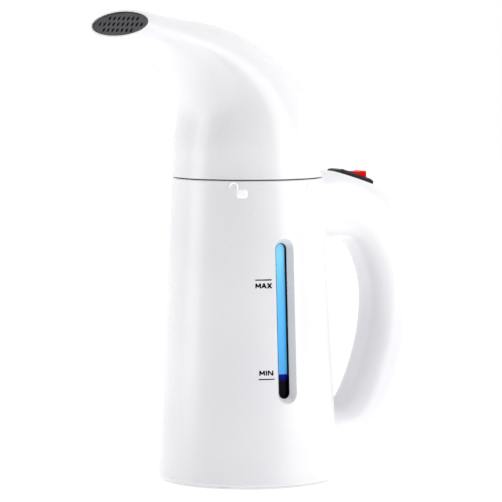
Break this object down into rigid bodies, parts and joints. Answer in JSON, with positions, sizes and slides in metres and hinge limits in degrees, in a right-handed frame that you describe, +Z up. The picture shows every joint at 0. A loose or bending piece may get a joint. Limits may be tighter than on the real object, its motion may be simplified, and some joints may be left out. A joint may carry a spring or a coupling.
{
  "type": "garment steamer",
  "caption": "Hand-held garment steamer: tapered white body with loop handle, side water window, rocker switch, and a curved twist-off head with a wide oval nozzle.",
  "frame": {"origin": "centre of the foot ring's underside, on the surface the steamer stands on", "axes": "+Z up along the tapered body's axis, -X towards the nozzle, +X towards the handle, -Y is the side with the water window"},
  "size_m": [0.177, 0.0958, 0.2488],
  "materials": {
    "white_abs": "glossy moulded ABS",
    "base_abs": "fine textured ABS",
    "screw_steel": "zinc-plated steel",
    "foot_rubber": "matt rubber",
    "silicone": "translucent silicone",
    "window_black": "glossy",
    "window_blue": "clear blue acrylic",
    "board_green": "glass-fibre board",
    "lamp_blue": "diffused epoxy",
    "tank_pp": "natural polypropylene",
    "bayonet_nylon": "glass-filled nylon",
    "heater_aluminium": "die-cast",
    "heater_steel": "stainless",
    "control_black": "phenolic",
    "fuse_ceramic": "unglazed",
    "wire_sleeve": "silicone sleeve",
    "nozzle_grey": "heat-resistant, satin",
    "switch_black": "satin nylon",
    "switch_red": "glossy polycarbonate",
    "contact_brass": "plain"
  },
  "bodies": {
    "body": {"casing_left": "white_abs", "casing_right": "white_abs", "base_cover": "base_abs", "cord_gland": "base_abs", "casing_screws": "screw_steel", "base_screws": "screw_steel", "clamp_screws": "screw_steel", "foot_ring": "foot_rubber", "heater_gasket": "silicone", "window_surround": "window_black", "window_lens": "window_blue", "indicator_board": "board_green", "indicator_lamp": "lamp_blue", "water_tank": "tank_pp", "tank_collar": "tank_pp", "heater_plate": "heater_aluminium", "heating_element": "heater_steel", "heater_clamp": "heater_steel", "thermostat": "control_black", "terminal_block": "control_black", "thermal_fuse": "fuse_ceramic", "switch_wires": "wire_sleeve", "heater_wires": "wire_sleeve", "switch_housing": "switch_black", "switch_terminals": "contact_brass"},
    "ring": {"bayonet_ring": "bayonet_nylon"},
    "head": {"head_shell": "white_abs", "head_floor": "tank_pp", "head_screws": "screw_steel", "head_seal": "silicone", "splash_baffle": "tank_pp", "steam_duct": "tank_pp", "nozzle_gasket": "silicone", "nozzle_plate": "nozzle_grey"},
    "rocker": {"switch_rocker": "switch_red", "switch_plunger": "switch_black", "switch_spring": "contact_brass"},
    "contact": {"switch_contact": "contact_brass"}
  },
  "joints": [
    {"name": "head_twist", "type": "hinge", "parent": "body", "child": "ring", "pos_m": [0, 0, 0.161], "axis": [0, 0, -1], "range_deg": [0, 57]},
    {"name": "head_lift", "type": "slide", "parent": "ring", "child": "head", "axis": [0, 0, 1], "range_m": [0, 0.08]},
    {"name": "rocker_tilt", "type": "hinge", "parent": "body", "child": "rocker", "pos_m": [0.06164, 0, 0.15667], "axis": [0, 1, 0], "range_deg": [0, 26]},
    {"name": "contact_tilt", "type": "hinge", "parent": "body", "child": "contact", "pos_m": [0.05898, 0, 0.14849], "axis": [0, 1, 0], "range_deg": [-13, 0]}
  ],
  "couplings": [
    {"joint": "contact_tilt", "follows": "rocker_tilt", "ratio": -0.5}
  ]
}
